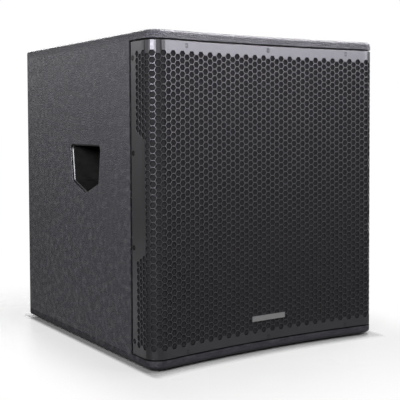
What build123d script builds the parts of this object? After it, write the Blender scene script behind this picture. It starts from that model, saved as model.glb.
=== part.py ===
from build123d import *
import os
from math import atan2, cos, degrees, pi, radians, sin, sqrt, tan

# A powered 18-inch subwoofer cabinet. X runs across the front, Y from front to back, Z up.
# The origin is on the floor under the middle of the box, and everything is in millimetres.

# Cabinet
WIDTH = 530
DEPTH = 560
HEIGHT = 600
FOOT_HEIGHT = 5
PANEL = 15
EDGE_ROUND = 6
CORNER_RADIUS = 27
FRONT_SAG = 15          # how far the middle of the front lies behind its corners
BACK_RECESS = 20        # how far the back panel is set in

# Grille
GRILLE_SHEET = 1.5
GRILLE_WRAP = 69.5        # how far the sheet wraps back along each side
GRILLE_LOW = 22.5
GRILLE_HIGH = 582
SIDE_PANEL_START = 56
REBATE_DEPTH = 3
GROOVE_START = 68.5     # a dark groove runs down each side panel behind the sheet's end
GROOVE_END = 76.5
GROOVE_DEPTH = 10
FOAM_THICKNESS = 8
RAIL_DEPTH = 18
RAIL_RELIEF = 8         # how far back each batten is cut away next to the gap
RAIL_RELIEF_HEIGHT = 4
RAIL_LOW_TOP = 36.5
RAIL_HIGH_BOTTOM = 566
FRONT_SCREW_HEIGHTS = (28, 574)
FRONT_SCREW_PLACES = (-188, 0, 188)
SIDE_SCREW_HEIGHTS = (46, 215, 384, 553)
SIDE_SCREW_SETBACK = 63
BADGE_THICKNESS = 1.2
BADGE_HALF_WIDTH = 39
BADGE_LOW = 61
BADGE_HIGH = 71

# Woofer and port
BAFFLE_SETBACK = 70
BAFFLE = 18
WOOFER_Z = 340
WOOFER_RADIUS = 230
CUT_OUT_RADIUS = 212
BOLT_CIRCLE = 219.5
BOLT_COUNT = 8
PORT_LOW = 40
PORT_HIGH = 100
PORT_HALF_WIDTH = 235
PORT_END = 430
DIVIDER = 18
GASKET_FRONT = 12.2     # how far the gasket's face stands ahead of the baffle
FLANGE_FRONT = 7        # how far the basket's flange stands ahead of the baffle
BOLT_LENGTH = 34.2
BOLT_SHANK_RADIUS = 2.5
BOLT_HOLE_RADIUS = 2.9
TERMINALS_ABOVE = 166   # the terminal block's height above the woofer's middle
BRACE_Y = 360
WINDOW_HALF_WIDTH = 190
WINDOW_LOW = 170
WINDOW_HIGH = 526

# Handle pocket, seen from the side: a shield with a flat top and a pointed bottom
HANDLE_MIDDLE = 262
HANDLE_TOP = 395.5
HANDLE_SHOULDER = 322
HANDLE_TIP = 300
HANDLE_TOP_HALF = 67.5
HANDLE_LOW_HALF = 58
HANDLE_DEPTH = 62
HANDLE_WALL = 2.5
HANDLE_SET_IN = 4
HANDLE_LIP = 2
HANDLE_CORNER_RADIUS = 9
HANDLE_FLANGE = 3
HANDLE_GRIP_SPACE = 24  # how far the finger space reaches up behind the top edge
HANDLE_SCREW_PLACES = [(-70, 355), (70, 355), (-30, 304), (30, 304)]

# Pole socket for a 35 mm stand pole
POLE_BORE_RADIUS = 18
POLE_TUBE_RADIUS = 21
POLE_BOTTOM = 515
POLE_FLANGE_RADIUS = 45
POLE_FLANGE = 3
POLE_SCREW_CIRCLE = 33

# Feet
FOOT_X = 210
FOOT_Y = 225
FOOT_RADIUS = 20

# Amplifier
PLATE = 3
AMP_HALF_WIDTH = 170
AMP_LOW = 250
AMP_HIGH = 510
AMP_LIP = 12
AMP_DEPTH = 105
BOARD_SETBACK = 32
SOCKET_RADIUS = 11.8
SOCKET_BORE = 9.7

# Worked out from the above
FRONT = -DEPTH / 2
BACK = DEPTH / 2
HALF = WIDTH / 2
WALL_IN = HALF - PANEL
FLOOR_IN = FOOT_HEIGHT + PANEL
CEILING_IN = HEIGHT - PANEL
CORNER_X = HALF - CORNER_RADIUS
CORNER_Y = FRONT + CORNER_RADIUS
FRONT_RADIUS = (CORNER_X ** 2 + FRONT_SAG ** 2) / (2 * FRONT_SAG) - CORNER_RADIUS
FRONT_CENTRE_Y = FRONT + FRONT_SAG - FRONT_RADIUS
BAFFLE_Y = FRONT + BAFFLE_SETBACK
HANDLE_Y = FRONT + HANDLE_MIDDLE
BACK_PANEL_OUT = BACK - BACK_RECESS
BACK_PANEL_IN = BACK_PANEL_OUT - PANEL
PLATE_OUT = BACK_PANEL_OUT + PLATE
BOARD_Y = BACK_PANEL_OUT - BOARD_SETBACK

BOLT_ANGLES = [360 / BOLT_COUNT * (k + 0.5) for k in range(BOLT_COUNT)]
LEVEL_KNOB = (-125, 470)
CROSSOVER_KNOB = (-75, 470)
PHASE_BUTTON = (-125, 428)
LIFT_BUTTON = (-75, 428)
LIGHTS = [(-32, 478), (-32, 466), (-32, 454)]
INPUTS = [(-125, 385), (-75, 385)]
OUTPUTS = [(-125, 340), (-75, 340)]
POLE_ANGLES = (-90, 30, 150)
INLET = (-118, 290)
SWITCH = (-62, 290)
SWITCH_PIVOT = PLATE_OUT - 2
ROCKER_REST = 8


# ---- simple shapes ----

def block(x0, x1, y0, y1, z0, z1):
    """A box between two opposite corners."""
    return Pos((x0 + x1) / 2, (y0 + y1) / 2, (z0 + z1) / 2) * Box(x1 - x0, y1 - y0, z1 - z0)


def bar_x(radius, y, z, x0, x1):
    """A round bar along X."""
    return Pos((x0 + x1) / 2, y, z) * Rot(0, 90, 0) * Cylinder(radius, x1 - x0)


def bar_y(radius, x, z, y0, y1):
    """A round bar along Y."""
    return Pos(x, (y0 + y1) / 2, z) * Rot(90, 0, 0) * Cylinder(radius, y1 - y0)


def bar_z(radius, x, y, z0, z1):
    """A round bar along Z."""
    return Pos(x, y, (z0 + z1) / 2) * Cylinder(radius, z1 - z0)


def group(solids):
    """Several separate solids as one shape."""
    return Compound(children=list(solids))


def mirrored(shape):
    """The same shape on the other side of the cabinet."""
    return mirror(shape, about=Plane.YZ)


# ---- the cabinet's outline from above ----

def plan(inset, back_y):
    """The outline drawn in by inset: hollow front, round front corners, straight sides to back_y."""
    half = HALF - inset
    corner = CORNER_RADIUS - inset
    hollow = FRONT_RADIUS + inset
    share = hollow / (FRONT_RADIUS + CORNER_RADIUS)
    meet_x = CORNER_X * share
    meet_y = FRONT_CENTRE_Y + (CORNER_Y - FRONT_CENTRE_Y) * share
    half_turn = atan2(FRONT_CENTRE_Y - CORNER_Y, -CORNER_X) / 2
    mid_x = CORNER_X + corner * cos(half_turn)
    mid_y = CORNER_Y + corner * sin(half_turn)
    edges = [
        Line((-half, back_y), (half, back_y)),
        Line((half, back_y), (half, CORNER_Y)),
        ThreePointArc((half, CORNER_Y), (mid_x, mid_y), (meet_x, meet_y)),
        ThreePointArc((meet_x, meet_y), (0, FRONT_CENTRE_Y + hollow), (-meet_x, meet_y)),
        ThreePointArc((-meet_x, meet_y), (-mid_x, mid_y), (-half, CORNER_Y)),
        Line((-half, CORNER_Y), (-half, back_y)),
    ]
    return make_face(edges)


def slab(inset, back_y, z0, z1):
    """The outline as a solid between two heights."""
    return extrude(Pos(0, 0, z0) * plan(inset, back_y), amount=z1 - z0, dir=(0, 0, 1))


def band(inset, thickness, back_y, z0, z1):
    """A wall that follows the outline round the front and back along both sides."""
    return slab(inset, back_y, z0, z1) - slab(inset + thickness, back_y + 1, z0, z1)


def front_y(x):
    """Where the grille's outer face lies at x."""
    return FRONT_CENTRE_Y + sqrt(FRONT_RADIUS ** 2 - x ** 2)


# ---- fasteners ----

def screw(head_radius, head_height, shank_radius, length, recess=True):
    """A screw along -Z from its seat at the origin. Without its cross recess it cuts its own hole."""
    head = Pos(0, 0, head_height / 2) * Cylinder(head_radius, head_height)
    whole = head + Pos(0, 0, -length / 2) * Cylinder(shank_radius, length)
    if not recess:
        return whole
    arm = Pos(0, 0, head_height * 0.7) * Box(head_radius * 1.1, head_radius * 0.25, head_height * 0.6)
    return whole - arm - Rot(0, 0, 90) * arm


def grille_screws(recess=True):
    """Flush screws through the grille: three along the top, three along the bottom, four down each side."""
    head = 1.4
    flush = Pos(0, 0, -head) * screw(4.5, head, 2, 12, recess)
    screws = []
    for z in FRONT_SCREW_HEIGHTS:
        for x in FRONT_SCREW_PLACES:
            turn = degrees(atan2(x, FRONT_RADIUS))
            screws.append(Pos(x, front_y(x), z) * Rot(0, 0, -turn) * Rot(90, 0, 0) * flush)
    for z in SIDE_SCREW_HEIGHTS:
        side = Pos(HALF, FRONT + SIDE_SCREW_SETBACK, z) * Rot(0, 90, 0) * flush
        screws += [side, mirrored(side)]
    return screws


def woofer_spots():
    """The woofer's bolt centres as (x, z)."""
    return [
        (BOLT_CIRCLE * cos(radians(a)), WOOFER_Z + BOLT_CIRCLE * sin(radians(a)))
        for a in BOLT_ANGLES
    ]


def woofer_bolts(recess=True):
    """Bolts through the gasket, flange and baffle."""
    bolt = Rot(90, 0, 0) * screw(5, 4, BOLT_SHANK_RADIUS, BOLT_LENGTH, recess)
    return [Pos(x, BAFFLE_Y - GASKET_FRONT, z) * bolt for x, z in woofer_spots()]


def woofer_tee_nuts():
    """Tee nuts pressed into the back of the baffle."""
    back = BAFFLE_Y + BAFFLE
    nuts = []
    for x, z in woofer_spots():
        nut = bar_y(9, x, z, back, back + 1.5) + bar_y(4, x, z, back - 10, back)
        nuts.append(nut - bar_y(BOLT_SHANK_RADIUS, x, z, back - 11, back + 2))
    return nuts


def handle_screws(recess=True):
    """Screws that hold each handle cup to the inside of its panel."""
    one = Pos(WALL_IN - HANDLE_FLANGE, 0, 0) * Rot(0, -90, 0) * screw(4, 2.5, 1.8, 12, recess)
    right = [Pos(0, HANDLE_Y + dy, z) * one for dy, z in HANDLE_SCREW_PLACES]
    return right + [mirrored(s) for s in right]


def pole_screws(recess=True):
    """Screws through the pole socket's flange."""
    flush = Pos(0, 0, HEIGHT - 1.4) * screw(4, 1.4, 2, 12, recess)
    return [Rot(0, 0, 45 + 90 * k) * Pos(POLE_SCREW_CIRCLE, 0, 0) * flush for k in range(4)]


def foot_spots():
    """The feet's centres."""
    return [(sx * FOOT_X, sy * FOOT_Y) for sx in (-1, 1) for sy in (-1, 1)]


def foot_screws(recess=True):
    """Screws up through the feet into the bottom panel."""
    one = Pos(0, 0, FOOT_HEIGHT - 1.5) * Rot(180, 0, 0) * screw(4.5, 2, 2.2, 12, recess)
    return [Pos(x, y, 0) * one for x, y in foot_spots()]


def amp_screws(recess=True):
    """Screws round the rim of the amplifier's plate."""
    one = Pos(0, PLATE_OUT, 0) * Rot(-90, 0, 0) * screw(4, 2.2, 2, 15, recess)
    rim_x = AMP_HALF_WIDTH - 6
    spots = [(x, z) for x in (-rim_x, -54, 54, rim_x) for z in (AMP_LOW + 6, AMP_HIGH - 6)]
    spots += [(x, z) for x in (-rim_x, rim_x) for z in (340, 420)]
    return [Pos(x, 0, z) * one for x, z in spots]


# ---- the box ----

def end_panel(z0, z1):
    """The top or bottom panel, rounded all round its outline."""
    panel = slab(0, BACK, z0, z1)
    uprights = panel.edges().filter_by(Axis.Z).group_by(Axis.Y)[-1]
    return fillet(uprights, 4)


def top_panel():
    """The top, with its upper edge rounded and the pole socket's seat cut in."""
    panel = end_panel(CEILING_IN, HEIGHT)
    panel = fillet(panel.edges().group_by(Axis.Z)[-1], EDGE_ROUND)
    panel -= bar_z(POLE_TUBE_RADIUS, 0, 0, CEILING_IN - 1, HEIGHT + 1)
    panel -= bar_z(POLE_FLANGE_RADIUS, 0, 0, HEIGHT - POLE_FLANGE, HEIGHT + 1)
    return panel - pole_screws(recess=False)


def bottom_panel():
    """The bottom, with its lower edge rounded."""
    panel = end_panel(FOOT_HEIGHT, FLOOR_IN)
    panel = fillet(panel.edges().group_by(Axis.Z)[0], EDGE_ROUND)
    return panel - foot_screws(recess=False)


def shield(grow):
    """The handle pocket's outline, standing across X, grown outwards."""
    points = [
        (HANDLE_Y - HANDLE_TOP_HALF, HANDLE_TOP),
        (HANDLE_Y + HANDLE_TOP_HALF, HANDLE_TOP),
        (HANDLE_Y + HANDLE_LOW_HALF, HANDLE_SHOULDER),
        (HANDLE_Y, HANDLE_TIP),
        (HANDLE_Y - HANDLE_LOW_HALF, HANDLE_SHOULDER),
    ]
    outline = Polygon(*points, align=None)
    outline = fillet(outline.vertices(), HANDLE_CORNER_RADIUS)
    if grow:
        outline = offset(outline, grow)
    return Plane.YZ * outline


def shield_solid(grow, x0, x1):
    """The grown outline as a solid between two places along X."""
    return extrude(Pos(x0, 0, 0) * shield(grow), amount=x1 - x0, dir=(1, 0, 0))


def side_panel():
    """The right side: stepped in at the front for the grille, with the chamfered handle opening."""
    panel = block(WALL_IN, HALF, FRONT + SIDE_PANEL_START, BACK, FLOOR_IN, CEILING_IN)
    panel = fillet(panel.edges().filter_by(Axis.Z).group_by(Axis.Y)[-1].sort_by(Axis.X)[-1], 4)
    step = HALF - REBATE_DEPTH
    panel -= block(step, HALF + 1, FRONT, FRONT + GROOVE_END, FLOOR_IN, CEILING_IN)
    panel -= block(
        HALF - GROOVE_DEPTH, HALF + 1, FRONT + GROOVE_START, FRONT + GROOVE_END, FLOOR_IN, CEILING_IN
    )
    panel -= shield_solid(0.2, WALL_IN - 1, HALF + 1)
    rim = panel.edges().group_by(Axis.X)[-1].filter_by(
        lambda edge: HANDLE_TIP - 5 < edge.center().Z < HANDLE_TOP + 5
        and abs(edge.center().Y - HANDLE_Y) < HANDLE_TOP_HALF + 5
    )
    panel = chamfer(rim, 1)
    return panel - handle_screws(recess=False) - grille_screws(recess=False)


def handle_cup():
    """A moulded pocket with a rim behind the panel and a finger space under the top edge."""
    mouth = HALF - HANDLE_SET_IN
    bottom = HALF - HANDLE_DEPTH
    rim = WALL_IN - HANDLE_FLANGE
    wall = HANDLE_WALL
    lip_y = HANDLE_TOP_HALF - 4
    lip_low = HANDLE_TOP - 30
    lip_top = HANDLE_TOP + HANDLE_GRIP_SPACE
    cup = shield_solid(0, bottom, mouth) + shield_solid(14, rim, WALL_IN)
    cup += block(rim, WALL_IN, HANDLE_Y - lip_y - 10, HANDLE_Y + lip_y + 10, lip_low, lip_top + 10)
    cup += block(bottom, WALL_IN, HANDLE_Y - lip_y, HANDLE_Y + lip_y, lip_low, lip_top)
    cup -= shield_solid(-wall, bottom + wall, mouth + 1)
    mouth_face = cup.faces().group_by(Axis.X)[-1][0]
    cup = chamfer(mouth_face.inner_wires()[0].edges(), HANDLE_LIP)
    cup -= block(
        bottom + wall, WALL_IN + 0.5, HANDLE_Y - lip_y + wall, HANDLE_Y + lip_y - wall,
        lip_low, lip_top - wall,
    )
    return cup - handle_screws(recess=False)


def back_panel():
    """The recessed back, with the amplifier's opening."""
    panel = block(-WALL_IN, WALL_IN, BACK_PANEL_IN, BACK_PANEL_OUT, FLOOR_IN, CEILING_IN)
    half = AMP_HALF_WIDTH - AMP_LIP
    panel -= block(
        -half, half, BACK_PANEL_IN - 1, BACK_PANEL_OUT + 1, AMP_LOW + AMP_LIP, AMP_HIGH - AMP_LIP
    )
    return panel - amp_screws(recess=False)


def baffle():
    """The baffle, with the woofer's opening and two port mouths."""
    back = BAFFLE_Y + BAFFLE
    panel = block(-WALL_IN, WALL_IN, BAFFLE_Y, back, FLOOR_IN, CEILING_IN)
    panel -= bar_y(CUT_OUT_RADIUS, 0, WOOFER_Z, BAFFLE_Y - 1, back + 1)
    for x0, x1 in ((-PORT_HALF_WIDTH, -DIVIDER / 2), (DIVIDER / 2, PORT_HALF_WIDTH)):
        panel -= block(x0, x1, BAFFLE_Y - 1, back + 1, PORT_LOW, PORT_HIGH)
    return panel - woofer_bolts(recess=False) - woofer_tee_nuts()


def port_shelf():
    """The shelf that makes the port's upper wall."""
    return block(
        -WALL_IN, WALL_IN, BAFFLE_Y + BAFFLE, FRONT + PORT_END, PORT_HIGH, PORT_HIGH + PANEL
    )


def port_divider():
    """The upright wall between the two halves of the port."""
    half = DIVIDER / 2
    return block(-half, half, BAFFLE_Y + BAFFLE, FRONT + PORT_END, FLOOR_IN, PORT_HIGH)


def window_brace():
    """A frame across the inside that stiffens the walls, notched at the top for the leads."""
    y0 = FRONT + BRACE_Y
    y1 = y0 + PANEL
    brace = block(-WALL_IN, WALL_IN, y0, y1, PORT_HIGH + PANEL, CEILING_IN)
    window = block(-WINDOW_HALF_WIDTH, WINDOW_HALF_WIDTH, y0 - 1, y1 + 1, WINDOW_LOW, WINDOW_HIGH)
    window = fillet(window.edges().filter_by(Axis.Y), 25)
    return brace - window - block(12, 56, y0 - 1, y1 + 1, 545, CEILING_IN + 1)


def side_linings():
    """Sheets of damping felt on both side walls, cut away round the handle cups."""
    y1 = FRONT + BRACE_Y - 2
    sheet = block(WALL_IN - 24, WALL_IN - 0.3, BAFFLE_Y + 36, y1, PORT_HIGH + PANEL + 1, CEILING_IN - 2)
    sheet -= block(WALL_IN - 30, WALL_IN, HANDLE_Y - 90, y1 + 1, 280, 432)
    return [sheet, mirrored(sheet)]


# ---- the grille ----

def grille():
    """The wraparound sheet."""
    sheet = band(0, GRILLE_SHEET, FRONT + GRILLE_WRAP, GRILLE_LOW, GRILLE_HIGH)
    return sheet - grille_screws(recess=False)


def grille_foam():
    """The acoustic foam behind the sheet."""
    return band(
        GRILLE_SHEET + 0.3, FOAM_THICKNESS, FRONT + SIDE_PANEL_START - 0.5,
        RAIL_LOW_TOP + 0.5, RAIL_HIGH_BOTTOM - 0.5,
    )


def grille_rail(z0, z1, relief_z0):
    """A batten that the grille's margin is screwed to, cut away behind the gap from relief_z0 up."""
    outside = GRILLE_SHEET + 0.5
    back_y = FRONT + SIDE_PANEL_START - 0.5
    rail = band(outside, RAIL_DEPTH, back_y, z0, z1)
    rail -= band(outside - 1, RAIL_RELIEF + 1, back_y + 1, relief_z0, relief_z0 + RAIL_RELIEF_HEIGHT)
    return rail - grille_screws(recess=False)


def badge():
    """A blank plate on the grille, bent to its face."""
    plate = slab(-BADGE_THICKNESS, 0, BADGE_LOW, BADGE_HIGH) - slab(0, 1, BADGE_LOW - 1, BADGE_HIGH + 1)
    return plate & block(
        -BADGE_HALF_WIDTH, BADGE_HALF_WIDTH, FRONT - 5, FRONT + 40, BADGE_LOW - 1, BADGE_HIGH + 1
    )


# ---- the woofer ----

def turned(points):
    """A solid of revolution about the woofer's axis, from (radius, distance behind the baffle face)."""
    face = Polygon(*[(r, BAFFLE_Y + y) for r, y in points], align=None)
    return Pos(0, 0, WOOFER_Z) * revolve(face, Axis.Y)


def ring(r0, r1, y0, y1):
    """A turned ring of square section."""
    return turned([(r0, y0), (r1, y0), (r1, y1), (r0, y1)])


def woofer_basket():
    """The cast frame: flange, eight arms, spider ledge and motor seat."""
    frame = turned([
        (203, -FLANGE_FRONT), (WOOFER_RADIUS, -FLANGE_FRONT), (WOOFER_RADIUS, 0), (210.5, 0), (206, 32),
        (104, 112), (104, 120), (60, 120), (60, 114), (96, 114), (98, 108), (200, 28),
    ])
    frame += ring(90, 124, 95.4, 99.4)
    hole = Polygon(
        (130, BAFFLE_Y + 72), (150, BAFFLE_Y + 110), (230, BAFFLE_Y + 60), (190, BAFFLE_Y + 20),
        align=None,
    )
    window = Pos(0, 0, WOOFER_Z) * revolve(hole, Axis.Y, revolution_arc=30)
    for k in range(8):
        angle = 45 * k + 7.5
        frame -= Pos(0, 0, WOOFER_Z) * Rot(0, angle, 0) * Pos(0, 0, -WOOFER_Z) * window
    for x, z in woofer_spots():
        frame -= bar_y(BOLT_HOLE_RADIUS, x, z, BAFFLE_Y - 10, BAFFLE_Y + 5)
    return frame


def woofer_pole_piece():
    """The back plate with its pole, vented through the middle."""
    return turned([(20, 118), (49.3, 118), (49.3, 156), (100, 156), (100, 168), (20, 168)])


def woofer_cone():
    """The paper cone, with a flat rim for the surround."""
    return turned([(50.6, 76), (174, -7), (180, -7), (180, -5.5), (174.6, -5.5), (50.6, 78)])


def woofer_dust_cap():
    """A dome over the voice coil, standing on the cone."""
    apex = BAFFLE_Y + 42
    radius = 136
    centre = Pos(0, apex + radius, WOOFER_Z)
    shell = centre * Sphere(radius) - centre * Sphere(radius - 1.2)
    return shell & bar_y(70, 0, WOOFER_Z, apex - 1, apex + 30)


def woofer_voice_coil():
    """The former with its winding."""
    return turned([
        (50, 72), (50.6, 72), (50.6, 114), (51.8, 114), (51.8, 138), (50.6, 138), (50.6, 140), (50, 140),
    ])


def woofer_surround():
    """The half-roll that lets the cone move."""
    middle = BAFFLE_Y - 7.6
    roll = Pos(190, middle) * (Circle(10.6) - Circle(9.4))
    roll -= Pos(190, middle + 10) * Rectangle(30, 20)
    lips = Pos(177.8, middle) * Rectangle(4.6, 1.2) + Pos(205.8, middle) * Rectangle(12, 1.2)
    return Pos(0, 0, WOOFER_Z) * revolve(roll + lips, Axis.Y)


def woofer_spider():
    """The corrugated disc that centres the coil."""
    waves = 6
    inner = 51.3
    outer = 90
    step = (outer - inner) / (2 * waves)
    front = [(inner + k * step, 93.4 + 1.2 * (-1) ** k) for k in range(2 * waves + 1)]
    front += [(98, 94.6)]
    back = [(r, y + 0.8) for r, y in reversed(front)]
    return turned(front + back)


def woofer_gasket():
    """The ring on the flange that covers the surround's edge."""
    outer = WOOFER_RADIUS - 1
    ring_shape = turned([
        (205, -GASKET_FRONT), (outer, -GASKET_FRONT), (outer, -FLANGE_FRONT), (212.3, -FLANGE_FRONT),
        (212.3, -8.2), (205, -8.2),
    ])
    for x, z in woofer_spots():
        ring_shape -= bar_y(BOLT_HOLE_RADIUS, x, z, BAFFLE_Y - 20, BAFFLE_Y)
    return ring_shape


def woofer_terminals(basket):
    """The terminal block on the top arm, with two blades."""
    base = WOOFER_Z + TERMINALS_ABOVE
    strip = block(-16, 16, BAFFLE_Y + 56, BAFFLE_Y + 62, base, base + 22)
    for x in (-8, 8):
        strip += block(x - 3, x + 3, BAFFLE_Y + 62, BAFFLE_Y + 72, base + 13.6, base + 14.4)
    return strip - basket


# ---- handling ----

def pole_socket():
    """A flanged cup, flush in the top, for a stand pole."""
    cup = bar_z(POLE_TUBE_RADIUS, 0, 0, POLE_BOTTOM, HEIGHT)
    cup += bar_z(POLE_FLANGE_RADIUS, 0, 0, HEIGHT - POLE_FLANGE, HEIGHT)
    cup -= bar_z(POLE_BORE_RADIUS, 0, 0, POLE_BOTTOM + POLE_FLANGE, HEIGHT + 1)
    return cup - pole_screws(recess=False)


def feet():
    """Four rubber feet."""
    one = Pos(0, 0, FOOT_HEIGHT / 2) * Cylinder(FOOT_RADIUS, FOOT_HEIGHT)
    one = chamfer(one.edges().group_by(Axis.Z)[0], 1)
    one -= bar_z(5, 0, 0, -1, FOOT_HEIGHT - 1.5)
    return [Pos(x, y, 0) * one - foot_screws(recess=False) for x, y in foot_spots()]


# ---- the amplifier ----

def socket_hole(x, z):
    """The round hole for an audio socket."""
    return bar_y(12, x, z, BACK_PANEL_OUT - 1, PLATE_OUT + 1)


def amp_plate():
    """The metal plate that carries everything."""
    plate = block(
        -AMP_HALF_WIDTH, AMP_HALF_WIDTH, BACK_PANEL_OUT, PLATE_OUT, AMP_LOW, AMP_HIGH
    )
    plate = fillet(plate.edges().filter_by(Axis.Y), 6)
    for x, z in INPUTS + OUTPUTS:
        plate -= socket_hole(x, z)
    for x, z in (LEVEL_KNOB, CROSSOVER_KNOB):
        plate -= bar_y(3.6, x, z, BACK_PANEL_OUT - 1, PLATE_OUT + 1)
    for x, z in (PHASE_BUTTON, LIFT_BUTTON):
        plate -= bar_y(5, x, z, BACK_PANEL_OUT - 1, PLATE_OUT + 1)
    for x, z in LIGHTS:
        plate -= bar_y(2.5, x, z, BACK_PANEL_OUT - 1, PLATE_OUT + 1)
    x, z = INLET
    plate -= block(x - 14, x + 14, BACK_PANEL_OUT - 1, PLATE_OUT + 1, z - 20, z + 20)
    x, z = SWITCH
    plate -= block(x - 11, x + 11, BACK_PANEL_OUT - 1, PLATE_OUT + 1, z - 14, z + 14)
    return plate - amp_screws(recess=False)


def heat_sink():
    """Upright fins on a thick base, on the outside of the plate."""
    base = 4
    x0 = 14
    pitch = 11
    fins = 13
    x1 = x0 + pitch * (fins - 1) + 2
    sink = block(x0, x1, PLATE_OUT, PLATE_OUT + base, AMP_LOW + 22, AMP_HIGH - 22)
    for k in range(fins):
        x = x0 + pitch * k
        sink += block(x, x + 2, PLATE_OUT + base, BACK - 2, AMP_LOW + 22, AMP_HIGH - 22)
    return sink


def amp_cover():
    """The sealed steel tray over the back of the amplifier, with holes for the leads."""
    half = AMP_HALF_WIDTH - AMP_LIP - 3
    z0 = AMP_LOW + AMP_LIP + 3
    z1 = AMP_HIGH - AMP_LIP - 3
    y0 = BACK_PANEL_OUT - AMP_DEPTH
    sheet = 1.5
    tray = block(-half, half, y0, BACK_PANEL_OUT, z0, z1)
    tray -= block(
        -half + sheet, half - sheet, y0 + sheet, BACK_PANEL_OUT + 1, z0 + sheet, z1 - sheet
    )
    return tray


def audio_socket(x, z):
    """A flange, a sleeve and a barrel down to the circuit board."""
    body = block(x - 13, x + 13, PLATE_OUT, PLATE_OUT + 2, z - 15.5, z + 15.5)
    body = fillet(body.edges().filter_by(Axis.Y), 3)
    body += bar_y(SOCKET_RADIUS, x, z, BOARD_Y, PLATE_OUT + 4)
    return body


def input_sleeve(x, z):
    """The outer sleeve of a three-pole input, with a slot for its latch."""
    body = audio_socket(x, z) - bar_y(SOCKET_BORE, x, z, PLATE_OUT - 16, PLATE_OUT + 5)
    return body - block(x - 4, x + 4, PLATE_OUT - 8, PLATE_OUT + 5, z + 8, z + 12.5)


def input_insert(x, z):
    """The insert that stands in the sleeve, with a hole for each pole."""
    insert = bar_y(7.6, x, z, PLATE_OUT - 16, PLATE_OUT - 2)
    for angle in POLE_ANGLES:
        hole_x = x + 4.2 * cos(radians(angle))
        hole_z = z + 4.2 * sin(radians(angle))
        insert -= bar_y(1.3, hole_x, hole_z, PLATE_OUT - 14, PLATE_OUT)
    return insert


def input_latch(x, z):
    """The press tab that lets a plug go."""
    tab = block(x - 3.6, x + 3.6, PLATE_OUT - 5, PLATE_OUT + 5.5, z + 8.4, z + 11.2)
    return fillet(tab.edges().filter_by(Axis.X), 0.8)


def output_socket(x, z):
    """A three-pin output."""
    body = audio_socket(x, z) - bar_y(SOCKET_BORE, x, z, PLATE_OUT - 14, PLATE_OUT + 5)
    for angle in POLE_ANGLES:
        pin_x = x + 4.9 * cos(radians(angle))
        pin_z = z + 4.9 * sin(radians(angle))
        body += bar_y(1.2, pin_x, pin_z, PLATE_OUT - 14.5, PLATE_OUT - 1.5)
    return body


def mains_inlet():
    """A mains inlet with three blades, and a bay above it for the fuse drawer."""
    x, z = INLET
    body = block(x - 18, x + 18, PLATE_OUT, PLATE_OUT + 2.5, z - 24, z + 24)
    body = fillet(body.edges().filter_by(Axis.Y), 3)
    body += block(x - 13.8, x + 13.8, BOARD_Y, PLATE_OUT, z - 19.8, z + 19.8)
    body -= block(x - 12, x + 12, PLATE_OUT - 15, PLATE_OUT + 3, z - 17.5, z - 1)
    for dx, dz in ((-7, -7.5), (7, -7.5), (0, -11)):
        body += block(x + dx - 1, x + dx + 1, PLATE_OUT - 16, PLATE_OUT - 3, z + dz - 2, z + dz + 2)
    return body - block(x - 12, x + 12, PLATE_OUT - 22, PLATE_OUT + 3, z + 3, z + 17)


def fuse_drawer():
    """A drawer that slides out above the inlet."""
    x, z = INLET
    drawer = block(x - 11.7, x + 11.7, PLATE_OUT - 20, PLATE_OUT + 3.5, z + 3.3, z + 16.7)
    drawer -= block(x - 9.5, x + 9.5, PLATE_OUT - 18, PLATE_OUT - 2, z + 5.5, z + 17)
    return drawer - block(x - 4, x + 4, PLATE_OUT + 2, PLATE_OUT + 4, z + 3, z + 4.8)


def power_switch_frame():
    """The switch's bezel and body, open at the front for the rocker."""
    x, z = SWITCH
    frame = block(x - 13, x + 13, PLATE_OUT, PLATE_OUT + 2, z - 16.5, z + 16.5)
    frame = fillet(frame.edges().filter_by(Axis.Y), 2)
    frame += block(x - 10.8, x + 10.8, PLATE_OUT - 20, PLATE_OUT, z - 13.8, z + 13.8)
    frame -= block(x - 9.3, x + 9.3, PLATE_OUT - 9, PLATE_OUT + 3, z - 12.6, z + 12.6)
    return frame - bar_x(1.35, SWITCH_PIVOT, z, x - 10.1, x + 10.1)


def power_rocker():
    """The rocker on its pivot pin, resting with its lower half pressed in."""
    x, z = SWITCH
    outline = Polygon(
        (-3.5, -7), (5.4, -10.4), (4, 0), (5.4, 10.4), (-3.5, 7), align=None
    )
    rocker = Pos(-9, 0, 0) * extrude(Plane.YZ * outline, amount=18, dir=(1, 0, 0))
    rocker += bar_x(1.2, 0, 0, -10, 10)
    return Pos(x, SWITCH_PIVOT, z) * Rot(-ROCKER_REST, 0, 0) * rocker


def potentiometer(x, z):
    """A control's body and threaded bush behind the plate."""
    body = bar_y(3.5, x, z, BACK_PANEL_OUT - 7, PLATE_OUT)
    body += block(x - 8, x + 8, BOARD_Y, BACK_PANEL_OUT - 7, z - 8, z + 8)
    return body - bar_y(2.05, x, z, BACK_PANEL_OUT - 20, PLATE_OUT + 1)


def knob(x, z):
    """A fluted knob with a pointer groove, on its own spindle."""
    cap = bar_y(9, x, z, PLATE_OUT + 1, PLATE_OUT + 12)
    cap = fillet(cap.edges().group_by(Axis.Y)[-1], 1.2)
    for k in range(12):
        angle = radians(30 * k + 15)
        cap -= bar_y(1.6, x + 10 * cos(angle), z + 10 * sin(angle), PLATE_OUT + 3.5, PLATE_OUT + 13)
    cap -= block(x - 0.5, x + 0.5, PLATE_OUT + 11.2, PLATE_OUT + 13, z + 1, z + 10)
    return cap + bar_y(2, x, z, BACK_PANEL_OUT - 18, PLATE_OUT + 1)


def push_button(x, z):
    """A round latching button."""
    cap = bar_y(4.6, x, z, BACK_PANEL_OUT - 6, PLATE_OUT + 5)
    cap = fillet(cap.edges().group_by(Axis.Y)[-1], 1)
    return cap + bar_y(1.8, x, z, BOARD_Y + 6, BACK_PANEL_OUT - 6)


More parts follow.
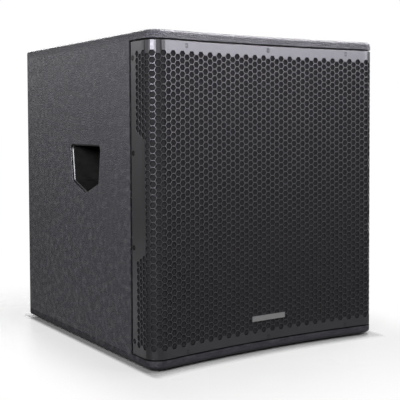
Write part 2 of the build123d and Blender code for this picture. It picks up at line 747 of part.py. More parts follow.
def amp_board():
    """The circuit board that every socket is soldered to, with its four capacitors."""
    face = BOARD_Y - 1.6
    board = block(-148, 10, face, BOARD_Y, AMP_LOW + 22, AMP_HIGH - 22)
    for x in (-110, -68):
        for z in (300, 342):
            board += bar_y(17, x, z, face - 50, face)
    return board


def supply_transformer():
    """A toroidal transformer, standing on the plate."""
    y0 = BACK_PANEL_OUT - 48
    coil = bar_y(52, 84, 335, y0, BACK_PANEL_OUT) - bar_y(14, 84, 335, y0 - 1, BACK_PANEL_OUT + 1)
    return fillet(coil.edges().filter_by(GeomType.CIRCLE), 9)


def status_lights():
    """Three small lenses in the plate."""
    return [bar_y(2.4, x, z, BACK_PANEL_OUT - 3, PLATE_OUT + 1) for x, z in LIGHTS]


# ---- the leads inside the cabinet ----

LEAD_RADIUS = 2
LEAD_ROUTE = [
    (8, BAFFLE_Y + 72, 520), (9, BAFFLE_Y + 100, 521), (24, -80, 540), (38, -40, 557), (42, 10, 563),
    (42, 62, 564), (40, 112, 560), (36, 148, 545), (33, 166, 518), (28, 176, 492),
    (18, 196, 472), (10, BOARD_Y - 1.6, 466),
]


def arc_radii(points):
    """The largest tangent arc for each corner of a route, with room left on both its runs."""
    corners = [Vector(*p) for p in points]
    radii = []
    for before, here, after in zip(corners, corners[1:], corners[2:]):
        run_in = here - before
        run_out = after - here
        half_turn = radians(run_in.get_angle(run_out)) / 2
        radii.append(0.45 * min(run_in.length, run_out.length) / tan(half_turn))
    return radii


def lead(shift):
    """An insulated lead from the woofer's terminals to the amplifier, moved sideways by shift."""
    points = [(x + shift, y, z) for x, y, z in LEAD_ROUTE]
    radii = arc_radii(points)
    print("lead arc radii, mm:", [round(r) for r in radii])
    path = FilletPolyline(*points, radius=radii)
    start = Plane(origin=path @ 0, z_dir=path % 0)
    tube = sweep(start * Circle(LEAD_RADIUS), path=path)
    section = pi * LEAD_RADIUS ** 2
    print("lead volume over section times length:", round(tube.volume / (section * path.length), 3))
    return tube


def lead_clips(leads):
    """Two saddles that hold both leads up under the top panel."""
    clips = [block(18, 50, y, y + 10, 555, CEILING_IN) for y in (30, 66)]
    return [clip - leads for clip in clips]


# ---- the whole cabinet ----

def all_nodes():
    """Every node's name and shape."""
    basket = woofer_basket()
    terminals = woofer_terminals(basket)
    board = amp_board()
    leads = [lead(shift) - terminals - board for shift in (0, -16)]
    right_side = side_panel()
    right_cup = handle_cup()
    cover = amp_cover() - leads
    return {
        "top_panel": top_panel(),
        "bottom_panel": bottom_panel(),
        "side_panel_right": right_side,
        "side_panel_left": mirrored(right_side),
        "back_panel": back_panel(),
        "baffle": baffle(),
        "port_shelf": port_shelf(),
        "port_divider": port_divider(),
        "window_brace": window_brace(),
        "side_linings": group(side_linings()),
        "grille": grille(),
        "grille_foam": grille_foam(),
        "grille_rail_lower": grille_rail(FLOOR_IN, RAIL_LOW_TOP, FLOOR_IN),
        "grille_rail_upper": grille_rail(RAIL_HIGH_BOTTOM, CEILING_IN, CEILING_IN - RAIL_RELIEF_HEIGHT),
        "grille_screws": group(grille_screws()),
        "badge": badge(),
        "woofer_basket": basket,
        "woofer_top_plate": ring(52.5, 95, 120, 132),
        "woofer_magnet": ring(65, 110, 132, 156),
        "woofer_pole_piece": woofer_pole_piece(),
        "woofer_cone": woofer_cone(),
        "woofer_dust_cap": woofer_dust_cap(),
        "woofer_voice_coil": woofer_voice_coil(),
        "woofer_surround": woofer_surround(),
        "woofer_spider": woofer_spider(),
        "woofer_gasket": woofer_gasket(),
        "woofer_terminals": terminals,
        "woofer_bolts": group(woofer_bolts()),
        "woofer_tee_nuts": group(woofer_tee_nuts()),
        "woofer_lead_red": leads[0],
        "woofer_lead_black": leads[1],
        "lead_clips": group(lead_clips(leads)),
        "handle_cup_right": right_cup,
        "handle_cup_left": mirrored(right_cup),
        "handle_screws": group(handle_screws()),
        "pole_socket": pole_socket(),
        "pole_socket_screws": group(pole_screws()),
        "feet": group(feet()),
        "foot_screws": group(foot_screws()),
        "amp_plate": amp_plate(),
        "amp_screws": group(amp_screws()),
        "amp_cover": cover,
        "heat_sink": heat_sink(),
        "amp_board": board,
        "supply_transformer": supply_transformer(),
        "input_sleeves": group(input_sleeve(x, z) for x, z in INPUTS),
        "input_inserts": group(input_insert(x, z) for x, z in INPUTS),
        "input_latch_1": input_latch(*INPUTS[0]),
        "input_latch_2": input_latch(*INPUTS[1]),
        "output_sockets": group(output_socket(x, z) for x, z in OUTPUTS),
        "mains_inlet": mains_inlet(),
        "fuse_drawer": fuse_drawer(),
        "power_switch_frame": power_switch_frame(),
        "power_rocker": power_rocker(),
        "potentiometers": group(potentiometer(x, z) for x, z in (LEVEL_KNOB, CROSSOVER_KNOB)),
        "level_knob": knob(*LEVEL_KNOB),
        "crossover_knob": knob(*CROSSOVER_KNOB),
        "phase_button": push_button(*PHASE_BUTTON),
        "ground_lift_button": push_button(*LIFT_BUTTON),
        "status_lights": group(status_lights()),
    }


os.makedirs("parts", exist_ok=True)
for node_name, shape in all_nodes().items():
    export_step(shape, f"parts/{node_name}.step")
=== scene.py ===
import bpy
import math
from mathutils import Matrix, Vector, noise


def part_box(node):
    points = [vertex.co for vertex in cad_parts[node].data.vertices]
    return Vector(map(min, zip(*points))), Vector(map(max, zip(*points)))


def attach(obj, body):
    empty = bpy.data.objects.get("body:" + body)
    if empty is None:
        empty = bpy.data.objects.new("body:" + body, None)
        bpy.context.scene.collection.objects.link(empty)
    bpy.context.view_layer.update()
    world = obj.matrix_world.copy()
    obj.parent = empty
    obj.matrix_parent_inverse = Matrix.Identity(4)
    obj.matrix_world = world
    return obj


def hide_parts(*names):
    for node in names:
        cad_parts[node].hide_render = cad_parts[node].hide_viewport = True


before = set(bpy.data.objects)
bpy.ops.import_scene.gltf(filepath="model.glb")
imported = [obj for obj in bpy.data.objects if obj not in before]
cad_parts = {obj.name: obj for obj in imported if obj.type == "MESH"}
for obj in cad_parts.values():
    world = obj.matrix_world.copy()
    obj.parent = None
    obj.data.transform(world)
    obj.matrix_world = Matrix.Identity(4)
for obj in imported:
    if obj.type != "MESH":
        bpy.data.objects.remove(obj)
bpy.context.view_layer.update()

# The cabinet's own sizes, read from the frame. Shape constants repeat the design's, in metres.
top_low, top_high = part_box("top_panel")
grille_low, grille_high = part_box("grille")
HALF = top_high.x
FRONT = top_low.y
BACK = top_high.y
HEIGHT = top_high.z
CORNER_RADIUS = 0.027
FRONT_SAG = 0.015
SHEET = 0.0015
CORNER_X = HALF - CORNER_RADIUS
CORNER_Y = FRONT + CORNER_RADIUS
FRONT_RADIUS = (CORNER_X ** 2 + FRONT_SAG ** 2) / (2 * FRONT_SAG) - CORNER_RADIUS
FRONT_CENTRE_Y = FRONT + FRONT_SAG - FRONT_RADIUS
FRONT_TURN = math.asin(CORNER_X / (FRONT_RADIUS + CORNER_RADIUS))
FRONT_LENGTH = FRONT_RADIUS * FRONT_TURN
CORNER_LENGTH = CORNER_RADIUS * (math.pi / 2 + FRONT_TURN)


# ---- camera ----

CAMERA_PLACE = (-1.0031, FRONT - 1.2916, 0.4349)
CAMERA_TURN = math.radians(33.0)
CAMERA_TILT = math.radians(2.36)
CAMERA_ROLL = math.radians(-0.25)
CAMERA_LENS = 77.8
CAMERA_SHIFT = -0.1


def add_object(name, data):
    """A new object with the given data, in the scene."""
    made = bpy.data.objects.new(name, data)
    bpy.context.collection.objects.link(made)
    return made


def make_camera():
    """The camera, low and to the left, seeing the left side and the front."""
    data = bpy.data.cameras.new("camera")
    data.lens = CAMERA_LENS
    data.sensor_width = 36
    data.shift_y = CAMERA_SHIFT
    camera = add_object("camera", data)
    turn = Matrix.Rotation(-CAMERA_TURN, 4, "Z")
    tilt = Matrix.Rotation(math.pi / 2 - CAMERA_TILT, 4, "X")
    roll = Matrix.Rotation(CAMERA_ROLL, 4, "Z")
    camera.matrix_world = Matrix.Translation(CAMERA_PLACE) @ turn @ tilt @ roll
    bpy.context.scene.camera = camera


# ---- materials ----

class Shader:
    """A material under construction: its nodes, its shader and a few short ways to join them."""

    def __init__(self, name, rough, metal=0.0, **constants):
        self.material = bpy.data.materials.new(name)
        self.material.use_nodes = True
        self.tree = self.material.node_tree
        self.shader = self.tree.nodes["Principled BSDF"]
        self.shader.inputs["Roughness"].default_value = rough
        self.shader.inputs["Metallic"].default_value = metal
        for socket, value in constants.items():
            self.shader.inputs[socket.replace("_", " ")].default_value = value
        self.place = self.tree.nodes.new("ShaderNodeTexCoord").outputs["Object"]

    def node(self, kind, **settings):
        made = self.tree.nodes.new(kind)
        for key, value in settings.items():
            setattr(made, key, value)
        return made

    def join(self, source, target):
        self.tree.links.new(source, target)

    def noise(self, scale, detail=2.0, stretch=None, roughness=0.5):
        """Noise of the given scale, optionally stretched by a factor along each axis."""
        made = self.node("ShaderNodeTexNoise")
        made.inputs["Scale"].default_value = scale
        made.inputs["Detail"].default_value = detail
        made.inputs["Roughness"].default_value = roughness
        where = self.place
        if stretch:
            mapping = self.node("ShaderNodeMapping")
            mapping.inputs["Scale"].default_value = stretch
            self.join(where, mapping.inputs["Vector"])
            where = mapping.outputs["Vector"]
        self.join(where, made.inputs["Vector"])
        return made.outputs["Fac"]

    def cells(self, scale, feature="F1"):
        """Distance to the nearest of many scattered points."""
        made = self.node("ShaderNodeTexVoronoi", feature=feature)
        made.inputs["Scale"].default_value = scale
        self.join(self.place, made.inputs["Vector"])
        return made.outputs["Distance"]

    def ramp(self, source, *stops):
        """A colour ramp from (position, colour) stops; a single number is a grey."""
        made = self.node("ShaderNodeValToRGB")
        elements = made.color_ramp.elements
        while len(elements) < len(stops):
            elements.new(0.5)
        for element, (position, colour) in zip(elements, stops):
            element.position = position
            grey = isinstance(colour, (int, float))
            element.color = (colour, colour, colour, 1) if grey else (*colour, 1)
        self.join(source, made.inputs["Fac"])
        return made.outputs["Color"]

    def mapped(self, source, given, wanted, easing="LINEAR"):
        """The source, from one (low, high) range, mapped to another."""
        made = self.node("ShaderNodeMapRange", interpolation_type=easing)
        limits = zip(("From Min", "From Max", "To Min", "To Max"), (*given, *wanted))
        for socket, value in limits:
            made.inputs[socket].default_value = value
        self.join(source, made.inputs["Value"])
        return made.outputs["Result"]

    def spread(self, source, low, high):
        """The source, from 0.3 to 0.7, where noise mostly lies, mapped to low to high."""
        return self.mapped(source, (0.3, 0.7), (low, high))

    def colour(self, source):
        self.join(source, self.shader.inputs["Base Color"])

    def rough(self, source, low, high):
        self.join(self.spread(source, low, high), self.shader.inputs["Roughness"])

    def bump(self, source, height, strength=1.0):
        """Adds a layer of bump, on top of any before it. Height is in metres."""
        made = self.node("ShaderNodeBump")
        made.inputs["Distance"].default_value = height
        made.inputs["Strength"].default_value = strength
        self.join(source, made.inputs["Height"])
        socket = self.shader.inputs["Normal"]
        if socket.is_linked:
            self.join(socket.links[0].from_socket, made.inputs["Normal"])
        self.join(made.outputs["Normal"], socket)

    def edge_wear(self, base, worn, amount=0.35):
        """Mixes towards a worn colour on sharp outward edges, broken up by noise."""
        pointy = self.node("ShaderNodeNewGeometry").outputs["Pointiness"]
        edges = self.ramp(pointy, (0.52, 0.0), (0.58, 1.0))
        patches = self.ramp(self.noise(90, 4), (0.45, 0.0), (0.7, amount))
        return self.mixed(self.math("MULTIPLY", edges, patches), base, worn)

    def mixed(self, factor, base, other):
        """The base colour, with another plain colour in its place as far as the factor says."""
        mix = self.node("ShaderNodeMix", data_type="RGBA")
        self.join(factor, mix.inputs["Factor"])
        self.join(base, mix.inputs["A"])
        mix.inputs["B"].default_value = (*other, 1)
        return mix.outputs["Result"]

    def math(self, operation, first, second=None):
        """The result of a maths operation on one or two values, each a socket or a number."""
        made = self.node("ShaderNodeMath", operation=operation)
        for socket, value in zip(made.inputs, (first, second)):
            if isinstance(value, (int, float)):
                socket.default_value = value
            elif value is not None:
                self.join(value, socket)
        return made.outputs["Value"]

    def axes(self):
        """The object's own x, y and z."""
        separate = self.node("ShaderNodeSeparateXYZ")
        self.join(self.place, separate.inputs["Vector"])
        return separate.outputs

    def recess_shade_mask(self, start):
        """1 where |x| is less than start, ahead of the back edge; 0 elsewhere. It marks where a
        side panel gets painted shade.
        """
        x, y, _ = self.axes()
        inside = self.math("LESS_THAN", self.math("ABSOLUTE", x), start)
        return self.math("MULTIPLY", inside, self.math("LESS_THAN", y, BACK - BACK_EDGE))


# A slightly cool shine, as black powder coat and textured paint have.
COOL = (0.90, 0.87, 1.0, 1.0)

# How far in from the outside the top's coat or a polished lip goes, and past which a side panel is
# painted near black as painted shade, in metres.
SIDE_SHADE_DEPTH = 0.0014
LIP_DEPTH = 0.0014
TOP_COAT_DEPTH = 0.0004
BACK_EDGE = 0.01


def textured_paint(name, shine=0.5, painted_shade_from=None, grain_height=0.0012, dull_from=None):
    """Coarse spatter paint: rounded grains about two millimetres across, with a satin shine.

    A side panel is painted near black inside its groove and its handle opening, from the given
    depth inwards, as painted shade.
    The top panel's flat top, above dull_from, is scuffed dull.
    """
    s = Shader(name, 0.5, Specular_IOR_Level=shine, Specular_Tint=COOL)
    grains = s.noise(420, 2, roughness=0.5)
    base = s.ramp(grains, (0.3, (0.0065, 0.0062, 0.0078)), (0.7, (0.0115, 0.011, 0.0135)))
    base = s.edge_wear(base, (0.06, 0.06, 0.063))
    # Painted shade: near black inside the groove and the handle opening.
    if painted_shade_from:
        base = s.mixed(s.recess_shade_mask(painted_shade_from), base, (0.0015, 0.0015, 0.0016))
    s.colour(base)
    gloss = s.spread(s.noise(520, 2), 0.28, 0.52)
    if dull_from:
        dull = s.math("GREATER_THAN", s.axes()[2], dull_from)
        gloss = s.math("ADD", gloss, s.math("MULTIPLY", dull, 0.42))
    s.join(gloss, s.shader.inputs["Roughness"])
    s.bump(s.noise(3, 2), 0.0016, 0.25)
    s.bump(grains, grain_height, 1.0)
    s.bump(s.cells(700), 0.0005, 0.8)
    return s.material


def rim_coat():
    """The chamfered edge of every hole: rubbed dull near the floor, smoother higher up."""
    s = Shader("rim_coat", 0.5, Specular_Tint=COOL)
    s.colour(s.ramp(s.noise(40, 3), (0.35, 0.004), (0.65, 0.007)))
    gloss = s.mapped(s.axes()[2], (0.15, 0.5), (0.88, 0.42))
    s.join(gloss, s.shader.inputs["Roughness"])
    s.bump(s.noise(1400, 2), 0.00004, 0.4)
    return s.material


def flat_paint(name, level=0.012, rough=0.75):
    """Plain black paint over wood grain."""
    s = Shader(name, rough)
    grain = s.noise(60, 3, stretch=(1, 1, 9))
    s.colour(s.ramp(grain, (0.3, level * 0.8), (0.7, level * 1.3)))
    s.rough(grain, rough - 0.08, rough + 0.08)
    s.bump(grain, 0.0002, 0.5)
    return s.material


def powder_coat(name, level, rough, shine=0.5):
    """Smooth powder coat with a fine orange peel."""
    s = Shader(name, rough, Specular_IOR_Level=shine, Specular_Tint=COOL)
    base = s.ramp(s.noise(40, 3), (0.3, level * 0.92), (0.7, level * 1.08))
    s.colour(s.edge_wear(base, (level * 2.2,) * 3, 0.25))
    s.rough(s.noise(300, 2), rough - 0.04, rough + 0.05)
    s.bump(s.noise(700, 2), 0.00012, 0.35)
    return s.material


def open_foam():
    """Open-cell foam: dark, matt, pitted."""
    s = Shader("open_foam", 0.95, Specular_IOR_Level=0.0)
    cells = s.cells(850)
    pit, wall = (0.004, 0.0039, 0.0043), (0.013, 0.0126, 0.0138)
    s.colour(s.ramp(cells, (0.15, pit), (0.6, wall)))
    s.bump(cells, 0.0010, 0.9)
    return s.material


def birch_plywood():
    """Bare plywood: pale faces with long figure."""
    s = Shader("birch_plywood", 0.6)
    figure = s.noise(14, 5, stretch=(1, 1, 8))
    s.colour(s.ramp(figure, (0.3, (0.42, 0.29, 0.16)), (0.7, (0.62, 0.47, 0.30))))
    s.rough(figure, 0.5, 0.72)
    s.bump(s.noise(160, 3, stretch=(1, 1, 14)), 0.0002, 0.5)
    return s.material


def fibre(name, dark, light, scale=500):
    """Felt, paper pulp or treated cloth."""
    s = Shader(name, 0.9, Sheen_Weight=0.3)
    hairs = s.noise(scale, 5, stretch=(1, 1, 3), roughness=0.7)
    s.colour(s.ramp(hairs, (0.3, dark), (0.7, light)))
    s.bump(hairs, 0.0006, 0.8)
    return s.material


def felt(name):
    """Grey needle felt."""
    return fibre(name, (0.10, 0.10, 0.10), (0.24, 0.24, 0.23), 300)


def rubber(name, level=0.016):
    """Moulded rubber with a dusty bloom."""
    s = Shader(name, 0.8)
    bloom = s.noise(70, 4)
    s.colour(s.ramp(bloom, (0.3, level), (0.7, level * 1.8)))
    s.rough(bloom, 0.7, 0.9)
    s.bump(s.noise(500, 2), 0.0002, 0.5)
    return s.material


def moulded(name, colour, rough=0.45, grain=900):
    """Moulded plastic with a fine spark-eroded grain."""
    s = Shader(name, rough)
    dark = tuple(c * 0.85 for c in colour)
    light = tuple(min(1.0, c * 1.15) for c in colour)
    base = s.ramp(s.noise(50, 3), (0.3, dark), (0.7, light))
    s.colour(s.edge_wear(base, tuple(min(1.0, c * 1.6 + 0.02) for c in colour), 0.4))
    s.rough(s.noise(120, 3), rough - 0.08, rough + 0.08)
    s.bump(s.noise(grain, 2), 0.00015, 0.4)
    return s.material


def metal(name, colour, rough, stretch=(1, 1, 20), scale=60):
    """Bare or anodised metal, brushed along one axis."""
    s = Shader(name, rough, 1.0)
    lines = s.noise(scale, 4, stretch=stretch)
    dark = tuple(c * 0.82 for c in colour)
    s.colour(s.ramp(lines, (0.3, dark), (0.7, colour)))
    s.rough(lines, rough - 0.08, rough + 0.1)
    s.bump(lines, 0.00008, 0.4)
    return s.material


def handle_material():
    """A black moulding. Its outer lip is polished, as far in as the lip's chamfer goes."""
    s = Shader("handle_shell", 0.5, Specular_IOR_Level=0.04)
    lip_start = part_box("handle_cup_right")[1].x - LIP_DEPTH
    lip = s.math("GREATER_THAN", s.math("ABSOLUTE", s.axes()[0]), lip_start)
    shell = s.ramp(s.noise(60, 3), (0.3, 0.003), (0.7, 0.006))
    s.colour(s.mixed(lip, shell, (0.13, 0.13, 0.135)))
    s.join(lip, s.shader.inputs["Metallic"])
    grain = s.spread(s.noise(140, 3), 0.6, 0.75)
    s.join(s.math("SUBTRACT", grain, s.math("MULTIPLY", lip, 0.3)), s.shader.inputs["Roughness"])
    s.bump(s.noise(900, 2), 0.00012, 0.4)
    return s.material


def circuit_board():
    """Green lacquer with pale tracks."""
    s = Shader("circuit_lacquer", 0.3)
    tracks = s.cells(120, "DISTANCE_TO_EDGE")
    s.colour(s.ramp(tracks, (0.02, (0.10, 0.32, 0.12)), (0.06, (0.01, 0.10, 0.035))))
    s.bump(tracks, 0.00006, 0.5)
    return s.material


def lens_material():
    """A diffused green lamp lens, lit a little from inside."""
    s = Shader("lamp_lens", 0.25, Emission_Strength=0.6)
    s.colour(s.ramp(s.noise(600, 2), (0.3, (0.03, 0.30, 0.06)), (0.7, (0.06, 0.45, 0.10))))
    s.shader.inputs["Emission Color"].default_value = (0.05, 0.6, 0.12, 1)
    return s.material


def node_materials():
    """Every CAD node's material."""
    even = (1, 1, 1)
    top_coat = HEIGHT - TOP_COAT_DEPTH
    side_shade_start = HALF - SIDE_SHADE_DEPTH
    top_paint = textured_paint("top_paint", grain_height=0.003, dull_from=top_coat)
    # The side panels get painted shade, near black, inside their groove and handle opening.
    side_paint = textured_paint("side_paint", painted_shade_from=side_shade_start)
    screws = metal("blackened_steel", (0.03, 0.03, 0.034), 0.5, even, 300)
    zinc = metal("zinc_plate", (0.62, 0.62, 0.60), 0.35)
    nickel = metal("nickel_plate", (0.66, 0.65, 0.62), 0.25)
    motor = metal("motor_steel", (0.16, 0.16, 0.17), 0.4)
    socket = moulded("socket_nylon", (0.018, 0.018, 0.019), 0.42)
    knob = moulded("knob_plastic", (0.028, 0.028, 0.030), 0.55)
    cone = fibre("cone_pulp", (0.012, 0.012, 0.012), (0.03, 0.03, 0.03))
    cloth = fibre("treated_cloth", (0.02, 0.018, 0.016), (0.05, 0.045, 0.04), 700)
    basket = metal("basket_casting", (0.09, 0.09, 0.095), 0.55, even, 200)
    magnet = metal("magnet_ferrite", (0.08, 0.08, 0.085), 0.6, even, 300)
    winding = metal("coil_winding", (0.65, 0.35, 0.15), 0.35, (1, 40, 1))
    pole = metal("pole_anodised", (0.03, 0.03, 0.031), 0.7, even)
    cover = metal("cover_galvanised", (0.6, 0.61, 0.62), 0.4, even, 40)
    badge = metal("badge_satin", (0.26, 0.26, 0.265), 0.4, (20, 1, 1))
    buttons = moulded("button_plastic", (0.16, 0.16, 0.165), 0.45)
    tape = moulded("transformer_tape", (0.62, 0.40, 0.08), 0.3)
    by_material = {
        textured_paint("textured_paint"): ["back_panel"],
        top_paint: ["top_panel"],
        textured_paint("base_paint", 0.12): ["bottom_panel"],
        side_paint: ["side_panel_left", "side_panel_right"],
        flat_paint("inner_black"): ["baffle", "grille_rail_lower", "grille_rail_upper"],
        birch_plywood(): ["port_shelf", "port_divider", "window_brace"],
        screws: ["grille_screws", "amp_screws", "woofer_bolts", "pole_socket_screws"],
        zinc: ["woofer_tee_nuts", "handle_screws", "foot_screws"],
        nickel: ["input_latch_1", "input_latch_2", "potentiometers"],
        motor: ["woofer_top_plate", "woofer_pole_piece"],
        socket: ["input_sleeves", "input_inserts", "output_sockets", "mains_inlet",
                 "fuse_drawer", "power_switch_frame", "woofer_terminals", "lead_clips"],
        knob: ["level_knob", "crossover_knob"],
        powder_coat("plate_coat", 0.022, 0.5): ["amp_plate"],
        cone: ["woofer_cone", "woofer_dust_cap"],
        cloth: ["woofer_surround", "woofer_spider"],
        handle_material(): ["handle_cup_left", "handle_cup_right"],
        moulded("rocker_plastic", (0.35, 0.02, 0.015), 0.3): ["power_rocker"],
        buttons: ["phase_button", "ground_lift_button"],
        moulded("lead_red_pvc", (0.5, 0.02, 0.02), 0.4): ["woofer_lead_red"],
        moulded("lead_black_pvc", (0.02, 0.02, 0.02), 0.4): ["woofer_lead_black"],
        tape: ["supply_transformer"],
        badge: ["badge"],
        basket: ["woofer_basket"],
        magnet: ["woofer_magnet"],
        winding: ["woofer_voice_coil"],
        pole: ["pole_socket"],
        cover: ["amp_cover"],
        metal("sink_anodised", (0.045, 0.045, 0.047), 0.42): ["heat_sink"],
        rubber("foot_rubber"): ["feet"],
        rubber("gasket_rubber", 0.012): ["woofer_gasket"],
        felt("needle_felt"): ["side_linings"],
        circuit_board(): ["amp_board"],
        lens_material(): ["status_lights"],
    }
    for material, names in by_material.items():
        for name in names:
            give(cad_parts[name], material)


def give(thing, material):
    """Puts one material on the whole of an object."""
    thing.data.materials.clear()
    thing.data.materials.append(material)


# ---- the grille ----

def outline(s, inset):
    """The point at arc length s along the outer outline from its middle, moved in by inset."""
    side = -1 if s < 0 else 1
    s = abs(s)
    if s <= FRONT_LENGTH:
        turn = s / FRONT_RADIUS
        reach = FRONT_RADIUS + inset
        return side * reach * math.sin(turn), FRONT_CENTRE_Y + reach * math.cos(turn)
    reach = CORNER_RADIUS - inset
    if s <= FRONT_LENGTH + CORNER_LENGTH:
        angle = (s - FRONT_LENGTH) / CORNER_RADIUS - math.pi / 2 - FRONT_TURN
        return side * (CORNER_X + reach * math.cos(angle)), CORNER_Y + reach * math.sin(angle)
    return side * (HALF - inset), CORNER_Y + s - FRONT_LENGTH - CORNER_LENGTH


# The grille's hole pattern and edges, in metres.
HOLE_PITCH = 0.012
HOLE_FLATS = 0.0105
HOLE_CHAMFER = 0.0003
EDGE_CHAMFER = 0.0006
COLUMN_PITCH = HOLE_PITCH * math.sqrt(3) / 2
CELL_RADIUS = HOLE_PITCH / math.sqrt(3)
OUTER_COLUMN = 29
LOWEST_HOLE = 0.043
ROWS = 44
BLANK_LOW = 0.1905
BLANK_HIGH = 0.4165


# The coats of the grille, by the order they are given to its mesh. The hole walls carry the face's
# powder coat painted darker, as painted shade in the holes.
FACE_COAT = 0
HOLE_WALL_SHADE = 1
RIM_COAT = 2


class SheetBuilder:
    """Collects a flat pattern of faces in (s, z), and turns it into a sheet along the outline."""

    def __init__(self, end, low, high):
        self.end = end
        self.low = low
        self.high = high
        self.points = []
        self.index = {}
        self.faces = []
        self.materials = []

    def point(self, s, z, inset):
        key = (round(s, 6), round(z, 6), round(inset, 6))
        if key not in self.index:
            x, y = outline(s, inset)
            self.index[key] = len(self.points)
            self.points.append((x, y, z))
        return self.index[key]

    def face(self, corners, flip=False, material=FACE_COAT):
        loop = [self.point(*corner) for corner in corners]
        self.faces.append(loop[::-1] if flip else loop)
        self.materials.append(material)

    def drawn_in(self, s, z):
        """A point of the sheet's edge moved in by its chamfer; any other point as it is."""
        s = max(EDGE_CHAMFER - self.end, min(self.end - EDGE_CHAMFER, s))
        return s, max(self.low + EDGE_CHAMFER, min(self.high - EDGE_CHAMFER, z)), 0.0

    def skin(self, corners):
        """A face on the sheet's front, counter-clockwise in (s, z), and its twin on the back."""
        self.face([self.drawn_in(s, z) for s, z in corners])
        self.face([(s, z, SHEET) for s, z in corners], flip=True)

    def rim(self, corners):
        """The chamfered edge along an open run of points, with the sheet on its left."""
        c = EDGE_CHAMFER
        for (s0, z0), (s1, z1) in zip(corners, corners[1:]):
            slope = [(s0, z0, c), (s1, z1, c), self.drawn_in(s1, z1), self.drawn_in(s0, z0)]
            self.face(slope)
            self.face([(s0, z0, SHEET), (s1, z1, SHEET), (s1, z1, c), (s0, z0, c)])

    def cell(self, s, z, pierced):
        """One hexagon of the pattern, with or without its hole."""
        corners = hexagon(s, z, CELL_RADIUS)
        if not pierced:
            self.skin(corners)
            return
        edge = hexagon(s, z, HOLE_FLATS / math.sqrt(3) + HOLE_CHAMFER)
        hole = hexagon(s, z, HOLE_FLATS / math.sqrt(3))
        rings = (
            (corners, 0.0, edge, 0.0, FACE_COAT),
            (edge, 0.0, hole, HOLE_CHAMFER, RIM_COAT),
            (hole, HOLE_CHAMFER, hole, SHEET, HOLE_WALL_SHADE),
            (hole, SHEET, corners, SHEET, FACE_COAT),
        )
        for k in range(6):
            n = (k + 1) % 6
            for ring, depth, next_ring, next_depth, coat in rings:
                quad = [(*ring[k], depth), (*ring[n], depth)]
                quad += [(*next_ring[n], next_depth), (*next_ring[k], next_depth)]
                self.face(quad, material=coat)

    def build(self, name, materials):
        mesh = bpy.data.meshes.new(name)
        mesh.from_pydata(self.points, [], self.faces)
        for material in materials:
            mesh.materials.append(material)
        mesh.polygons.foreach_set("material_index", self.materials)
        return add_object(name, mesh)


def hexagon(s, z, radius):
    """The corners of a hexagon with level top and bottom, counter-clockwise from the right one."""
    turns = [math.radians(60 * k) for k in range(6)]
    return [(s + radius * math.cos(turn), z + radius * math.sin(turn)) for turn in turns]


def hole_heights(column):
    """The centre heights of a column's cells.

    Every second column, counted in from the outer one, starts half a pitch higher.
    """
    shift = (OUTER_COLUMN - abs(column)) % 2
    return [LOWEST_HOLE + HOLE_PITCH * (row + shift / 2) for row in range(ROWS - shift)]


def is_pierced(column, z):
    """False in the blank patch half way up the three outer columns, which narrows inwards."""
    step = OUTER_COLUMN - abs(column)
    if step > 2:
        return True
    taper = step * HOLE_PITCH / 2
    return not BLANK_LOW + taper < z < BLANK_HIGH - taper


def make_grille():
    """The perforated wraparound sheet, closed all round."""
    low = grille_low.z
    high = grille_high.z
    end = FRONT_LENGTH + CORNER_LENGTH + grille_high.y - CORNER_Y
    sheet = SheetBuilder(end, low, high)
    half = HOLE_PITCH / 2
    lower = []
    upper = []
    for column in range(-OUTER_COLUMN, OUTER_COLUMN + 1):
        s = column * COLUMN_PITCH
        heights = hole_heights(column)
        for z in heights:
            sheet.cell(s, z, is_pierced(column, z))
        for run, z in ((lower, heights[0] - half), (upper, heights[-1] + half)):
            run += [(s - CELL_RADIUS / 2, z), (s + CELL_RADIUS / 2, z)]
    for run, edge in ((lower, low), (upper, high)):
        for (s0, z0), (s1, z1) in zip(run, run[1:]):
            corners = [(s0, edge), (s1, edge), (s1, z1), (s0, z0)]
            sheet.skin(corners if edge == low else corners[::-1])
    for side in (-1, 1):
        run = side_run(side)
        edge = side * end
        for (s0, z0), (s1, z1) in zip(run, run[1:]):
            corners = [(s0, z0), (edge, z0), (edge, z1), (s1, z1)]
            sheet.skin(corners if side > 0 else corners[::-1])
        for z_edge, s0z0, outwards in ((low, run[0], -1), (high, run[-1], 1)):
            corners = [s0z0, (s0z0[0], z_edge), (edge, z_edge), (edge, s0z0[1])]
            sheet.skin(corners if side * outwards < 0 else corners[::-1])
    along_low = [(-end, low)] + [(s, low) for s, z in lower] + [(end, low)]
    along_high = [(-end, high)] + [(s, high) for s, z in upper] + [(end, high)]
    up = [low] + [z for s, z in side_run(1)] + [high]
    sheet.rim(along_low)
    sheet.rim(along_high[::-1])
    sheet.rim([(end, z) for z in up])
    sheet.rim([(-end, z) for z in up[::-1]])
    face_coat = powder_coat("grille_coat", 0.006, 0.34)
    # The hole walls: the same powder coat, painted darker as shade inside the holes.
    hole_wall_shade = powder_coat("hole_wall_shade", 0.0025, 0.7, 0.1)
    grille = sheet.build("perforated_grille", [face_coat, hole_wall_shade, rim_coat()])
    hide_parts("grille")
    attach(grille, "cabinet")


def side_run(side):
    """The zigzag that bounds the outermost column of cells, from bottom to top."""
    s = side * OUTER_COLUMN * COLUMN_PITCH
    inner = s + side * CELL_RADIUS / 2
    outer = s + side * CELL_RADIUS
    heights = hole_heights(OUTER_COLUMN)
    run = [(inner, heights[0] - HOLE_PITCH / 2)]
    for z in heights:
        run += [(outer, z), (inner, z + HOLE_PITCH / 2)]
    return run


# ---- foam and felt ----

FOAM_GAP = 0.0003
FOAM_THICKNESS = 0.008
FOAM_WAVE = 0.0004
FOAM_WAVES_PER_METRE = 40
FOAM_COLUMNS = 150
FOAM_ROWS = 120


